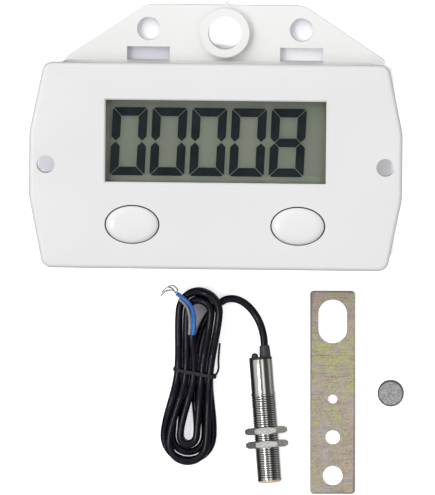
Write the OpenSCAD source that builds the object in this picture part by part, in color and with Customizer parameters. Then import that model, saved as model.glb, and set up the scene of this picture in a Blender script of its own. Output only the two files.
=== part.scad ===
// Digital tally counter with its magnetic sensor, mounting strip and magnet.
// Millimetres. The origin is the centre of the counter's rear face, which lies on the
// ground plane. X runs to the right, Y towards the hanging ear, Z out of the display.

/* [Counter case] */
// Width of the front plate between its side points
plate_w = 120.4; // [118:0.2:122]
// Height of the front plate
plate_h = 66.5; // [66:0.5:67]
// Width of the case behind the plate
case_w = 103; // [102.5:0.5:103.5]
// Height of the case behind the plate
case_h = 65.4; // [65:0.2:65.6]
// Depth of the whole counter, from its rear face to the front of the plate
case_d = 22; // [22:0.5:23]
// Thickness of the moulded walls
wall = 2; // [1.8:0.1:2]
// Diameter of the two screw holes in the sides of the plate
side_hole_d = 5.8; // [4:0.1:6.2]
// Distance between the two side screw holes
side_hole_gap = 109.6; // [109:0.2:110]

/* [Hanging ear] */
// Distance from the case's middle to the top of the ear
ear_top = 50.8; // [50:0.2:53]
// Thickness of the ear
ear_t = 3; // [2.5:0.1:4]
// Diameter of the two ear holes
ear_hole_d = 7.6; // [5:0.1:8]
// Distance between the two ear holes
ear_hole_gap = 49.6; // [48:0.2:52]
// Diameter of the hole in the middle ring
ring_hole_d = 10.8; // [8:0.1:11.6]

/* [Display] */
// Width of the window
window_w = 71.2; // [68:0.2:72]
// Height of the window
window_h = 26.6; // [25:0.2:27]
// Number shown on the five digits
shown_count = 8; // [0:1:99999]
// Height of a digit
digit_h = 22.1; // [18:0.1:22.2]
// Width of a digit
digit_w = 11.3; // [9:0.1:11.4]
// Width of a digit's stroke
stroke = 2.8; // [1.6:0.05:2.8]

/* [Buttons] */
// Width of a button cap
button_w = 17.2; // [15:0.1:17.3]
// Height of a button cap
button_h = 12.1; // [10:0.05:12.35]
// Distance between the two buttons
button_gap = 53.5; // [52:0.5:54]

/* [Battery] */
// Diameter of the cell
cell_d = 14.2; // [13.8:0.1:14.2]
// Length of the cell with its nub
cell_len = 50.5; // [49.5:0.1:50.5]

/* [Sensor] */
// Outer diameter of the thread
thread_d = 8; // [8:0.01:8.04]
// Length of the sensor without its lamp and sleeve
sensor_len = 41; // [38:0.5:44]
// Width across the flats of a nut
nut_af = 12; // [11.8:0.1:12]
// Thickness of a nut
nut_t = 2.2; // [1.8:0.1:2.4]
// Diameter of the cable
cord_d = 2.4; // [2.2:0.05:2.4]

/* [Strip and magnet] */
// Width of the mounting strip
strip_w = 14.6; // [13:0.1:16]
// Length of the mounting strip
strip_len = 66.4; // [64:0.2:68]
// Thickness of the mounting strip
strip_t = 1.5; // [1:0.1:2.5]
// Diameter of the magnet
magnet_d = 8.5; // [6:0.5:10]
// Thickness of the magnet
magnet_t = 3; // [2:0.5:5]

/* [Hidden] */
$fn = 64;
past = 1;

// Case
plate_back = case_d - 5;
plate_under = case_d - wall;
plate_drop = 0.35;
side_flat = 10.5;
side_lean = 4.6;
pocket_w = case_w - 2 * wall - 0.4;
pocket_h = case_h - 2 * wall - 0.4;
edge_r = 1.4;
back_edge_r = 0.8;
boss_x = 46.3;
boss_ys = [-27.5, 9];
board_boss_x = 40;
board_boss_ys = [-27.5, 10.5];
ear_x = 2.2;
ear_w = 103.8;
ear_foot = 0.6;
ring_y = 41.9;
ring_r = 8;
ring_h = 2 * ear_t;
ear_hole_y = 42.9;
ear_corner = [25.5, 7];
slot_x = [17.9, 31.8];
slot_reach = 4.4;

// Display stack
window_y = 7.75;
glass = [75, 33, 1.1];
glass_y = 6.5;
ledge = 3.5;
segment_t = 0.1;
glass_z = plate_under - glass[2];
rear_glass_z = glass_z - segment_t - glass[2];
reflector_z = rear_glass_z - 0.2;
digit_pitch = 12.82;
digit_shift = -2.47;
digit_drop = 0.28;
digit_lean = 2.5;
digit_gap = 0.25;
digit_cut = 0.8;

// Board and buttons
board = [84, 43.5, 1.6];
board_y = -8.25;
board_z = 12;
board_top = board_z + board[2];
button_y = -19.2;
button_play = 0.3;
button_lip = 1;
lip_t = 1;
lip_top = plate_under - 0.1;
cap_top = case_d + 1;
switch_w = 6;
switch_top = board_top + 3.4;
plunger_r = 1.7;
plunger_bottom = switch_top - 0.6;
plunger_top = lip_top - lip_t - 0.9;

// Battery bay
bay_x = [-6, case_w / 2 - wall - 0.1];
bay_y = [15.4, 30.2];
bay_wall = 1.5;
bay_roof = 16.15;
cell_y = (bay_y[0] + bay_y[1]) / 2;
cell_z = 1.75 + cell_d / 2;
cell_end = 49;
door_grooves = [0.95, 1.7];
door_tongue = 0.8;

// Terminal block
terminal = [15.24, 8, 10.2];
terminal_y = -28.5;
terminal_pitch = 5.08;

// Sensor, lying with its end cap and its rear nut on the ground
sensor_at = [14.65, -63.77, 3.76];
sensor_turn = 5;
sensor_rise = 5.62;
neck_d = thread_d - 0.5;
thread_from = 11.6;
thread_to = sensor_len - 0.8;
sensor_bore = 6.2;
nut_rear_s = 24;
nut_front_s = 28.4;
relief_at = 1.55;
relief_len = 3.7;
led_at = -1.85;
led_r = 1.1;

// Hank of cable: u across, v along, z up, before it is turned and placed
hank_at = [-7, -69.2];
hank_lean = 4.6;
top_v = 20.3;
bottom_v = -21;
low_v = -23.1;
low_r = 6.1;
top_r0 = 3.9;
bottom_r0 = 2.7;
lobe_step = 2.65;
waist_step = 2.6;
layer_z = [1.25, 4.2];
tie_lift = 1;
hank_end_v = -3;
hank_start = [8, 24.6];
hank_start_way = [-0.777, -0.629];
lobe_rings = 6;
run_rings = 6;

// Points of the free cable, chosen by hand, between the sleeve and the hank
run_points = [[15.25, -55.55, 2.8], [14.25, -52.7, 2], [12.6, -49.85, 1.5], [10.6, -47.5, 1.3], [8.1, -45.7, 1.25],
    [5.55, -44.95, 1.25]];
// Points of the tail and the cores, chosen by hand, in the hank's own u, v and z
tail_points = [[0, 0, 5.2], [-0.1, 3.4, 5.5], [-0.6, 7, 6], [-1.3, 10.2, 6.3], [-1.65, 12.55, 6.3]];
blue_points = [[-1.24, 12.55, 6.3], [-1.33, 16.9, 6.5], [-2.2, 20.9, 7.05], [-3.9, 23.2, 7.1], [-6.05, 24.65, 6.6],
    [-7.65, 25.6, 6]];
grey_points = [[-2.5, 12.6, 6.25], [-2.76, 16.95, 6.4], [-3.62, 20.65, 6.45], [-5.2, 22.65, 6.3], [-6.93, 23.8, 5.85]];
strand_points = [
    [[-7.9, 25.8, 5.55], [-9.6, 26.55, 5.1], [-11.6, 25.7, 4.4], [-12.7, 24.25, 3.9]],
    [[-8.25, 25.6, 6.05], [-9.15, 27, 6], [-10.9, 27.25, 5.6], [-12.65, 25.6, 5.1]],
    [[-7.85, 25.95, 6.4], [-7.65, 27.15, 6.5], [-9.05, 28.05, 6.4], [-10.65, 27.9, 6.1]]
];
tie_at = [0.3, 0.12];
tie_turn = 5.6;
tie_points = [[7, -0.45, 3.2], [7.6, -0.1, 3.1], [7.95, 1.3, 2.9], [7.9, 2.6, 2.6], [7.6, 5.5, 2.1],
    [7.55, 10.4, 1.4]];

// Mounting strip and magnet
strip_at = [38.18, -75.4];
strip_turn = 0.55;
strip_slot = [9.3, 14.4, 23.25];
strip_holes = [[3.1, -2.2], [4.8, -14.7], [6.5, -27.3]];
magnet_at = [57.1, -75.3];

function unit(v) = v / norm(v);
function smooth(t) = let (c = min(max(t, 0), 1)) c * c * (3 - 2 * c);
function mix(a, b, t) = a + (b - a) * t;
function running(lengths) = [for (i = 0, s = 0; i < len(lengths); s = s + lengths[i], i = i + 1) s + lengths[i]];

// Points of a closed outline whose corners are [x, y, radius], moved inwards by inset
function round_corner(a, b, c, inset) =
    let (back = unit([a.x - b.x, a.y - b.y]), on = unit([c.x - b.x, c.y - b.y]))
    let (half = acos(back * on) / 2, centre = [b.x, b.y] + unit(back + on) * b[2] / sin(half))
    let (first = atan2(-back.x, back.y) + 180, turn = 180 - 2 * half, n = max(2, ceil(turn / 15)))
    [for (i = [0:n]) let (q = first + turn * i / n) centre + (b[2] - inset) * [cos(q), sin(q)]];
function rounded(corners, inset = 0) =
    let (n = len(corners))
    [for (i = [0:n - 1]) each round_corner(corners[(i + n - 1) % n], corners[i], corners[(i + 1) % n], inset)];
function box_corners(w, h, r) = [[w / 2, -h / 2, r], [w / 2, h / 2, r], [-w / 2, h / 2, r], [-w / 2, -h / 2, r]];
function oval(w, h, n = 40) = [for (i = [0:n - 1]) let (q = 360 * i / n) [w / 2 * cos(q), h / 2 * sin(q)]];

// A solid through rings of points, listed counterclockwise as seen from the last ring
module skin(rings) {
    n = len(rings[0]);
    last = (len(rings) - 1) * n;
    walls = [for (i = [0:n:last - n], a = [0:n - 1])
        let (p = i + a, q = i + (a + 1) % n)
        each [[p, q + n, q], [p, p + n, q + n]]];
    start = [for (a = [1:n - 2]) [0, a, a + 1]];
    end = [for (a = [1:n - 2]) [last, last + a + 1, last + a]];
    polyhedron([for (ring = rings) each ring], concat(walls, start, end), convexity = 10);
}
function level(outline, z) = [for (p = outline) [p.x, p.y, z]];

// Rings of a tube of diameter d along a path. way_in and way_out turn the end rings.
function path_way(path, i, way_in, way_out) =
    i == 0 && way_in != undef ? way_in
    : i == len(path) - 1 && way_out != undef ? way_out
    : unit(path[min(i + 1, len(path) - 1)] - path[max(i - 1, 0)]);
function tube_ring(centre, way, d, sides) =
    let (across = unit(cross([0, 0, 1], way)), up = cross(way, across))
    [for (a = [0:sides - 1]) let (q = 360 * (a + 0.5) / sides) centre + d / 2 * (cos(q) * across + sin(q) * up)];
module tube(path, d, sides, way_in = undef, way_out = undef) {
    skin([for (i = [0:len(path) - 1]) tube_ring(path[i], path_way(path, i, way_in, way_out), d, sides)]);
}

// The wound cable
function on_ground(p) =
    [hank_at.x + p[0] * cos(hank_lean) + p[1] * sin(hank_lean),
        hank_at.y - p[0] * sin(hank_lean) + p[1] * cos(hank_lean), p[2]];
function bottom_r(k) = k == 3 ? low_r : bottom_r0 + lobe_step * (2 - abs(k - 2));
function bottom_c(k) = k == 3 ? low_v : bottom_v;
function top_r(k) = top_r0 + lobe_step * min(k, 3 - k);
function waist_right(k) = waist_step * min(k, 5 - k);
function waist_left(k) = -waist_step * min(k + 1, 4 - k);
function over_entry(u, v, layer) =
    (layer_z[1] - layer_z[0]) * smooth((u + 3.9 + 1.5 * layer) / 7.8) * smooth((v - 5 + 1.5 * layer) / 12);
function over_tie(v) = tie_lift * smooth((9 - abs(v)) / 6);
function run_u(u_top, u_waist, u_end, v, v_end) =
    v > 0 ? mix(u_waist, u_top, smooth(v / top_v)) : mix(u_waist, u_end, smooth(v / v_end));
function right_layer(k) = k < 3 ? 0 : 1;
function left_climb(k, v) = k < 2 ? 0 : k > 2 ? 1 : smooth((v - bottom_v) / 10);
function right_run(k, t) =
    let (v = mix(top_v, bottom_c(k), t), layer = right_layer(k))
    let (u = run_u(top_r(k - 1), waist_right(k), bottom_r(k), v, bottom_c(k)))
    [u, v, layer_z[layer] + over_entry(u, v, layer) + over_tie(v)];
function left_run(k, t) =
    let (v = mix(bottom_c(k), top_v, t))
    let (u = run_u(-top_r(k), waist_left(k), -bottom_r(k), v, bottom_c(k)))
    [u, v, mix(layer_z[0], layer_z[1], left_climb(k, v)) + over_entry(u, v, k < 2 ? 0 : 1) + over_tie(v)];
function bottom_lobe(k, t) =
    [bottom_r(k) * cos(180 * t), bottom_c(k) - bottom_r(k) * sin(180 * t), layer_z[right_layer(k)]];
function top_lobe(k, t) =
    let (u = -top_r(k) * cos(180 * t), v = top_v + top_r(k) * sin(180 * t), layer = k < 2 ? 0 : 1)
    [u, v, layer_z[layer] + over_entry(u, v, layer)];
function first_curve(t) =
    let (a = hank_start + cord_d * hank_start_way, b = [3.3, 20.8], c = [0, 14.5], d = [0, 6])
    let (p = pow(1 - t, 3) * a + 3 * t * pow(1 - t, 2) * b + 3 * t * t * (1 - t) * c + pow(t, 3) * d)
    [p.x, p.y, layer_z[0] + over_tie(p.y)];
function first_run(t) =
    let (v = mix(6, bottom_v, t))
    [run_u(0, 0, bottom_r(0), v, bottom_v), v, layer_z[0] + over_tie(v)];
function last_run(t) =
    let (v = mix(bottom_v, hank_end_v - cord_d, t))
    [run_u(0, 0, -bottom_r(4), v, bottom_v), v, layer_z[1] + over_tie(v)];
function steps(n) = [for (i = [0:n - 1]) i / n];
hank_path = concat(
    [[hank_start.x, hank_start.y, layer_z[0]]],
    [for (t = steps(run_rings)) first_curve(t)],
    [for (t = steps(run_rings)) first_run(t)],
    [for (t = steps(lobe_rings)) bottom_lobe(0, t)],
    [for (t = steps(run_rings)) left_run(0, t)],
    [for (k = [1:3]) each concat(
        [for (t = steps(lobe_rings)) top_lobe(k - 1, t)],
        [for (t = steps(run_rings)) right_run(k, t)],
        [for (t = steps(lobe_rings)) bottom_lobe(k, t)],
        [for (t = steps(run_rings)) left_run(k, t)])],
    [for (t = steps(lobe_rings)) top_lobe(3, t)],
    [for (t = steps(run_rings)) right_run(4, t)],
    [for (t = steps(lobe_rings)) bottom_lobe(4, t)],
    [for (t = steps(run_rings)) last_run(t)],
    [last_run(1), [0, hank_end_v, layer_z[1] + tie_lift]]
);

// Least gap of the wound cable to itself, measured on points along its middle line
fine_path = [for (i = [0:len(hank_path) - 2], t = steps(4)) mix(hank_path[i], hank_path[i + 1], t)];
fine_at = running([for (i = [0:len(fine_path) - 2]) norm(fine_path[i + 1] - fine_path[i])]);
near_self = 9;
hank_gap = min([for (i = [0:len(fine_path) - 3], j = [i + 2:len(fine_path) - 1])
    if (fine_at[j - 1] - fine_at[i] > near_self) norm(fine_path[i] - fine_path[j]) - cord_d]);
echo(hank_gap = hank_gap);

module sensor_place() {
    translate(sensor_at) rotate([0, 0, sensor_turn]) rotate([-sensor_rise, 0, 0]) children();
}

function from_sensor(p) =
    let (q = [p.x, p.y * cos(sensor_rise) + p.z * sin(sensor_rise), p.z * cos(sensor_rise) - p.y * sin(sensor_rise)])
    sensor_at + [q.x * cos(sensor_turn) - q.y * sin(sensor_turn), q.x * sin(sensor_turn) + q.y * cos(sensor_turn), q.z];
sensor_way = from_sensor([0, 1, 0]) - sensor_at;
relief_tip = from_sensor([relief_at, relief_len, 0]);
run_path = concat([relief_tip, relief_tip + cord_d * sensor_way], run_points,
    [on_ground([hank_start.x, hank_start.y, layer_z[0]])]);

// A solid of revolution along the sensor, from points [radius, distance from the cap end]
module along_sensor(profile) {
    rotate([90, 0, 0]) rotate_extrude() polygon(profile);
}

function plate_corners(w, h) =
    let (top = h / 2 - plate_drop, bottom = -h / 2 - plate_drop, out = w / 2, in = w / 2 - side_lean)
    [[out, -side_flat, 10], [out, side_flat, 10], [in, top, 3.5], [-in, top, 3.5],
        [-out, side_flat, 10], [-out, -side_flat, 10], [-in, bottom, 3.5], [in, bottom, 3.5]];

module plate_blank() {
    corners = plate_corners(plate_w, plate_h);
    skin(concat(
        [level(rounded(corners, 0.3), plate_back), level(rounded(corners), plate_back + 0.4)],
        [for (q = [0:18:90]) level(rounded(corners, edge_r * (1 - cos(q))), case_d - edge_r * (1 - sin(q)))]
    ));
}

module wing_recess() {
    translate([0, 0, plate_back - past]) linear_extrude(plate_under - plate_back + past)
        difference() {
            polygon(rounded(plate_corners(plate_w, plate_h), wall));
            square([case_w, plate_h + 2], center = true);
            for (side = [-1, 1]) translate([side * side_hole_gap / 2, 0]) circle(side_hole_d / 2 + 1.6);
        }
}

module window_cut() {
    translate([0, window_y, plate_under - past]) linear_extrude(wall + 2 * past)
        square([window_w, window_h], center = true);
    bevel = 0.45;
    translate([0, window_y, 0]) skin([for (out = [-bevel, 0.1])
        level(rounded(box_corners(window_w + 2 * bevel + 2 * out, window_h + 2 * bevel + 2 * out, 0.1), 0),
            case_d + out)]);
}

module front_ribs() {
    rim = 1;
    translate([0, glass_y, glass_z - 1.3]) linear_extrude(glass[2] + 1.3 + past) difference() {
        square([glass.x + 0.4 + 2 * rim, glass.y + 0.4 + 2 * rim], center = true);
        square([glass.x + 0.4, glass.y + 0.4], center = true);
    }
    lip_w = button_w + 2 * button_lip;
    lip_h = button_h + 2 * button_lip;
    for (side = [-1, 1]) translate([side * button_gap / 2, button_y, plate_under - 2.4])
        linear_extrude(2.4 + past) difference() {
            polygon(oval(lip_w + 3, lip_h + 3));
            polygon(oval(lip_w + 1, lip_h + 1));
        }
    for (side = [-1, 1], y = board_boss_ys) translate([side * board_boss_x, y, board_top])
        cylinder(h = plate_under - board_top + past, r = 2.2);
    for (side = [-1, 1], y = boss_ys) translate([side * boss_x, y, plate_back])
        cylinder(h = plate_under - plate_back + past, r = 2.6);
    for (side = [-1, 1]) {
        translate([side * (pocket_w / 2 - 0.6) - 0.6, -22, plate_back - 1.8]) cube([1.2, 26, 5.2]);
        translate([side * 25 - 13, -pocket_h / 2, plate_back - 1.8]) cube([26, 1.2, 5.2]);
    }
}

module front_shell() {
    color([0.93, 0.93, 0.94]) difference() {
        union() {
            difference() {
                plate_blank();
                translate([0, 0, plate_back - past]) linear_extrude(plate_under - plate_back + past)
                    polygon(rounded(box_corners(pocket_w, pocket_h, 1.5)));
                wing_recess();
            }
            front_ribs();
        }
        window_cut();
        for (side = [-1, 1]) {
            translate([side * side_hole_gap / 2, 0, plate_back - past]) cylinder(h = 5 + 2 * past, d = side_hole_d);
            translate([side * button_gap / 2, button_y, plate_under - past]) linear_extrude(wall + 2 * past)
                polygon(oval(button_w + 2 * button_play, button_h + 2 * button_play));
            for (y = boss_ys) translate([side * boss_x, y, plate_back - past]) cylinder(h = past + 2.6, r = 1.25);
            for (y = board_boss_ys) translate([side * board_boss_x, y, board_top - past])
                cylinder(h = past + 5, r = 1);
        }
    }
}

module case_blank() {
    corners = box_corners(case_w, case_h, 3);
    skin(concat(
        [for (q = [0:22.5:90]) level(rounded(corners, back_edge_r * (1 - sin(q))), back_edge_r * (1 - cos(q)))],
        [level(rounded(corners), plate_back)]
    ));
}

module ear_blank() {
    base = case_h / 2;
    foot = base + ear_foot;
    right = ear_x + ear_w / 2;
    left = ear_x - ear_w / 2;
    // The lower edge stays clear of the battery door's way
    end = base - 1.4;
    linear_extrude(ear_t) difference() {
        polygon(rounded([[right, end, 0.8], [right, foot, 0.8], [ear_x + ear_corner[0], ear_top, ear_corner[1]],
            [ear_x - ear_corner[0], ear_top, ear_corner[1]], [left, foot, 0.8], [left, end, 0.8]]));
        for (side = [-1, 1]) {
            translate([ear_x + side * ear_hole_gap / 2, ear_hole_y]) circle(d = ear_hole_d);
            translate([ear_x + side * (slot_x[0] + slot_x[1]) / 2, base + slot_reach / 2])
                square([slot_x[1] - slot_x[0], slot_reach], center = true);
        }
    }
    translate([ear_x, ring_y, 0]) cylinder(h = ring_h, r = ring_r);
    translate([ear_x + 0.5, ear_top, 0]) cylinder(h = ear_t, r = 0.75);
}

module bay_cut() {
    from = bay_x[0];
    translate([from, bay_y[0], -past]) cube([bay_x[1] - from, bay_y[1] - bay_y[0], bay_roof + past]);
    translate([from, bay_y[0], -past]) cube([case_w / 2 - from + past, bay_y[1] - bay_y[0], door_grooves[1] + past]);
    translate([from - 0.1, bay_y[0] - door_tongue, door_grooves[0]])
        cube([case_w / 2 - from + past, bay_y[1] - bay_y[0] + 2 * door_tongue, door_grooves[1] - door_grooves[0]]);
}

module rear_shell() {
    inner_w = case_w - 2 * wall;
    inner_h = case_h - 2 * wall;
    bay_h = case_h / 2 - wall - bay_y[0] + bay_wall;
    color([0.94, 0.94, 0.94]) difference() {
        union() {
            difference() {
                case_blank();
                translate([0, 0, wall]) linear_extrude(plate_back)
                    polygon(rounded(box_corners(inner_w, inner_h, 1.2)));
            }
            ear_blank();
            for (side = [-1, 1], y = boss_ys) translate([side * boss_x, y, wall / 2])
                cylinder(h = plate_back - wall / 2, r = 3.6);
            translate([bay_x[0] - bay_wall, bay_y[0] - bay_wall, wall / 2])
                cube([bay_x[1] - bay_x[0] + bay_wall + wall, bay_h + wall / 2, plate_back - wall / 2]);
        }
        bay_cut();
        translate([ear_x, ring_y, -past]) cylinder(h = ring_h + 2 * past, d = ring_hole_d);
        for (side = [-1, 1], y = boss_ys) translate([side * boss_x, y, -past]) {
            cylinder(h = 8 + past, r = 2.5);
            cylinder(h = plate_back + 2 * past, r = 1.35);
        }
        translate([0, terminal_y - 5, 0]) cube([terminal.x + 0.6, terminal.y + 10.4, 2 * board_z + 0.2], center = true);
    }
}

module lcd_front_glass() {
    color([0.72, 0.76, 0.68, 0.35]) translate([0, glass_y, glass_z]) linear_extrude(glass[2])
        square([glass.x, glass.y], center = true);
}

// Corner points of one stroke: a top bar, b upper right upright, g middle bar
function bar_points() =
    let (w = digit_w / 2, h = digit_h / 2, g = digit_gap * sqrt(0.5), c = digit_cut, s = stroke)
    [[c - w, h], [w - c, h], [w - (c + g) / 2, h - (c - g) / 2], [w - s - g, h - s], [s + g - w, h - s],
        [(c + g) / 2 - w, h - (c - g) / 2]];
function upright_points() =
    let (w = digit_w / 2, h = digit_h / 2, g = digit_gap * sqrt(0.5), c = digit_cut, s = stroke)
    [[w, h - c], [w, g + s / 2], [w - s / 2, g], [w - s, g + s / 2], [w - s, h - s - g],
        [w - (c - g) / 2, h - (c + g) / 2]];
function middle_points() =
    let (w = digit_w / 2, g = digit_gap * sqrt(0.5), s = stroke)
    [[w - s / 2 - g, 0], [w - s - g, s / 2], [s + g - w, s / 2], [s / 2 + g - w, 0], [s + g - w, -s / 2],
        [w - s - g, -s / 2]];
function placed(points, sx, sy) = [for (p = points) [p.x * sx + p.y * sy * tan(digit_lean), p.y * sy]];
STROKES = [placed(bar_points(), 1, 1), placed(upright_points(), 1, 1), placed(upright_points(), 1, -1),
    placed(bar_points(), 1, -1), placed(upright_points(), -1, -1), placed(upright_points(), -1, 1),
    placed(middle_points(), 1, 1)];
// Strokes lit for 0 to 9: top, upper right, lower right, bottom, lower left, upper left, middle
LIT = [[0, 1, 2, 3, 4, 5], [1, 2], [0, 1, 3, 4, 6], [0, 1, 2, 3, 6], [1, 2, 5, 6], [0, 2, 3, 5, 6], [0, 2, 3, 4, 5, 6],
    [0, 1, 2], [0, 1, 2, 3, 4, 5, 6], [0, 1, 2, 3, 5, 6]];

module lcd_segments() {
    color([0.13, 0.16, 0.2]) translate([digit_shift, window_y - digit_drop, glass_z - segment_t]) linear_extrude(segment_t)
        for (place = [0:4]) {
            shown = floor(shown_count / pow(10, 4 - place)) % 10;
            translate([(place - 2) * digit_pitch, 0]) for (s = LIT[shown]) polygon(STROKES[s]);
        }
}

module lcd_rear_glass() {
    color([0.6, 0.65, 0.55, 0.5]) translate([0, glass_y + ledge / 2, rear_glass_z]) linear_extrude(glass[2])
        square([glass.x, glass.y - ledge], center = true);
}

module lcd_reflector() {
    color([0.49, 0.51, 0.44]) translate([0, glass_y + ledge / 2, reflector_z])
        linear_extrude(rear_glass_z - reflector_z) square([glass.x, glass.y - ledge], center = true);
}

module lcd_holder() {
    frame = [73, 19.4];
    color([0.85, 0.85, 0.83]) translate([0, 3.4, board_top]) linear_extrude(reflector_z - board_top) difference() {
        square(frame, center = true);
        square([frame.x - 2.4, frame.y - 2.4], center = true);
    }
}

module zebra_strip() {
    color([0.75, 0.45, 0.5]) translate([0, -8.4, board_top]) linear_extrude(glass_z - board_top)
        square([70, 2.4], center = true);
}

module circuit_board() {
    color([0.1, 0.4, 0.22]) translate([0, board_y, board_z]) linear_extrude(board[2]) difference() {
        polygon(rounded(box_corners(board.x, board.y, 1)));
        for (side = [-1, 1], y = board_boss_ys) translate([side * board_boss_x, y - board_y]) circle(1.1);
    }
}

module chip_blob() {
    blob = [7, 1.4];
    color([0.08, 0.08, 0.08]) translate([0, 4, board_top]) rotate_extrude()
        polygon(concat([[0, 0]], [for (q = [0:15:90]) [blob[0] * pow(cos(q), 0.7), blob[1] * sin(q)]]));
}

module board_parts() {
    color([0.2, 0.25, 0.5]) {
        for (x = [-30, -22]) translate([x, 0, board_z - 6.5]) cylinder(h = 6.5, d = 5);
        translate([-14, -14, board_z - 1.6]) rotate([0, 90, 0]) cylinder(h = 6, d = 3);
        for (x = [12, 17, 22]) translate([x, -12, board_z - 2.2]) cube([2.4, 4, 2.2]);
    }
}

module tact_switches() {
    color([0.15, 0.15, 0.16]) for (side = [-1, 1]) translate([side * button_gap / 2, button_y, board_top])
        difference() {
            linear_extrude(switch_top - board_top) polygon(rounded(box_corners(switch_w, switch_w, 0.5)));
            translate([0, 0, 1.8]) cylinder(h = switch_top, r = plunger_r + 0.1);
        }
}

// Height of the cap's crowned top at a share of its half width, from 0 in the middle to 1
function crown(s) = cap_top - 0.75 * pow(s, 3) - 0.6 * pow(s, 16);

module button_cap() {
    lip = [button_w + 2 * button_lip, button_h + 2 * button_lip];
    color([0.96, 0.96, 0.96]) {
        difference() {
            union() {
                skin(concat([level(oval(button_w, button_h), lip_top - 0.1)],
                    [for (s = [1, 0.985, 0.94, 0.84, 0.66, 0.4, 0.12]) level(oval(button_w * s, button_h * s), crown(s))]));
                translate([0, 0, lip_top - lip_t]) linear_extrude(lip_t) polygon(oval(lip.x, lip.y));
            }
            translate([0, 0, lip_top - lip_t - past]) linear_extrude(past + 2) polygon(oval(button_w - 3, button_h - 3));
        }
        translate([0, 0, plunger_top]) cylinder(h = lip_top + 1.2 - plunger_top, r = 2.5);
    }
}

module plunger() {
    color([0.2, 0.2, 0.2]) translate([0, 0, plunger_bottom]) cylinder(h = plunger_top - plunger_bottom, r = plunger_r);
}

module pause_button() {
    translate([-button_gap / 2, button_y, 0]) button_cap();
}

module pause_plunger() {
    translate([-button_gap / 2, button_y, 0]) plunger();
}

module reset_button() {
    translate([button_gap / 2, button_y, 0]) button_cap();
}

module reset_plunger() {
    translate([button_gap / 2, button_y, 0]) plunger();
}

module battery() {
    r = cell_d / 2;
    color([0.25, 0.5, 0.35]) translate([cell_end - cell_len, cell_y, cell_z]) rotate([0, 90, 0]) rotate_extrude()
        polygon([[0, 0], [r - 0.8, 0], [r, 0.6], [r, cell_len - 2], [r - 0.7, cell_len - 1.4], [2.6, cell_len - 1.4],
            [2.6, cell_len], [0, cell_len]]);
}

module battery_spring() {
    turns = 3;
    per_turn = 8;
    wire = 0.7;
    plate_t = 0.4;
    from = bay_x[0];
    reach = cell_end - cell_len - wire / 2 - from;
    coil = [for (i = [0:turns * per_turn])
        let (t = i / (turns * per_turn), q = -360 * i / per_turn, r = mix(5.4, 3, t))
        [r * cos(q), r * sin(q), mix(plate_t + wire / 2 - 0.1, reach, t)]];
    color([0.75, 0.75, 0.77]) translate([from, cell_y, cell_z]) rotate([0, 90, 0]) {
        spring_wire(coil, wire);
        linear_extrude(plate_t) polygon(rounded(box_corners(12.4, 12.4, 1)));
    }
}

// A wire wound clockwise about Z, whose rings lie in planes through the axis
module spring_wire(path, d) {
    skin([for (c = path) let (out = unit([c.x, c.y, 0]))
        [for (q = [0:60:300]) c + d / 2 * (cos(q) * out + sin(q) * [0, 0, 1])]]);
}

module battery_contact() {
    color([0.75, 0.75, 0.77]) translate([cell_end, cell_y, cell_z]) rotate([0, 90, 0]) linear_extrude(0.4)
        polygon(rounded(box_corners(11.6, 12, 1)));
}

module battery_door() {
    from = bay_x[0] + 0.1;
    to = case_w / 2 - 0.2;
    color([0.92, 0.92, 0.92]) difference() {
        union() {
            translate([from, bay_y[0] + 0.2, 0.15]) cube([to - from, bay_y[1] - bay_y[0] - 0.4, 1.4]);
            translate([from, bay_y[0] - door_tongue + 0.2, 1])
                cube([to - from, bay_y[1] - bay_y[0] + 2 * door_tongue - 0.4, 0.6]);
        }
        for (x = [38:2:46]) translate([x, cell_y - 5, -past]) cube([0.9, 10, past + 0.5]);
    }
}

module terminal_block() {
    front = terminal_y - terminal.y / 2;
    bottom = board_z - terminal.z;
    color([0.15, 0.45, 0.25]) difference() {
        translate([-terminal.x / 2, 0, 0]) rotate([90, 0, 90]) linear_extrude(terminal.x)
            polygon([[front, bottom + 1.6], [front + 1.3, bottom], [front + terminal.y, bottom],
                [front + terminal.y, board_z], [front, board_z]]);
        for (i = [-1:1]) translate([i * terminal_pitch, 0, 0]) {
            translate([0, terminal_y, bottom - past]) cylinder(h = past + 3.8, r = 1.5);
            translate([0, terminal_y, board_z - 3.8]) rotate([90, 0, 0]) cylinder(h = terminal.y, r = 1.3);
        }
    }
}

module terminal_screws() {
    bottom = board_z - terminal.z;
    color([0.7, 0.7, 0.72]) for (i = [-1:1]) translate([i * terminal_pitch, terminal_y, bottom + 0.6]) difference() {
        cylinder(h = 3.2, r = 1.4);
        translate([0, 0, 0.3]) cube([4, 0.5, 0.8], center = true);
    }
}

// A pan head screw that points up, with a cross recess in its head
module screw(head_r, head_t, shank_r, length) {
    difference() {
        union() {
            rotate_extrude() polygon([[0, 0], [head_r * 0.7, 0], [head_r, head_t * 0.5], [head_r, head_t],
                [0, head_t]]);
            cylinder(h = head_t + length, r = shank_r);
        }
        for (q = [0, 90]) rotate([0, 0, q]) cube([head_r * 1.1, head_r * 0.26, head_t], center = true);
    }
}

module case_screws() {
    color([0.7, 0.7, 0.72]) for (side = [-1, 1], y = boss_ys) translate([side * boss_x, y, 6.2])
        screw(2.3, 1.8, 1.2, 11.4);
}

module board_screws() {
    color([0.7, 0.7, 0.72]) for (side = [-1, 1], y = board_boss_ys)
        translate([side * board_boss_x, y, board_z - 1.2]) screw(1.9, 1.2, 0.95, 6.4);
}

module sensor_barrel() {
    r = neck_d / 2;
    thread_r = thread_d / 2;
    bore_r = sensor_bore / 2;
    color([0.8, 0.8, 0.82]) sensor_place() along_sensor([[bore_r, 0.7], [r - 0.2, 0.7], [r, 0.9], [r, thread_from],
        [thread_r - 0.3, thread_from], [thread_r, thread_from + 0.4], [thread_r, thread_to - 0.5],
        [thread_r - 0.4, thread_to], [bore_r, thread_to]]);
}

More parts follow.
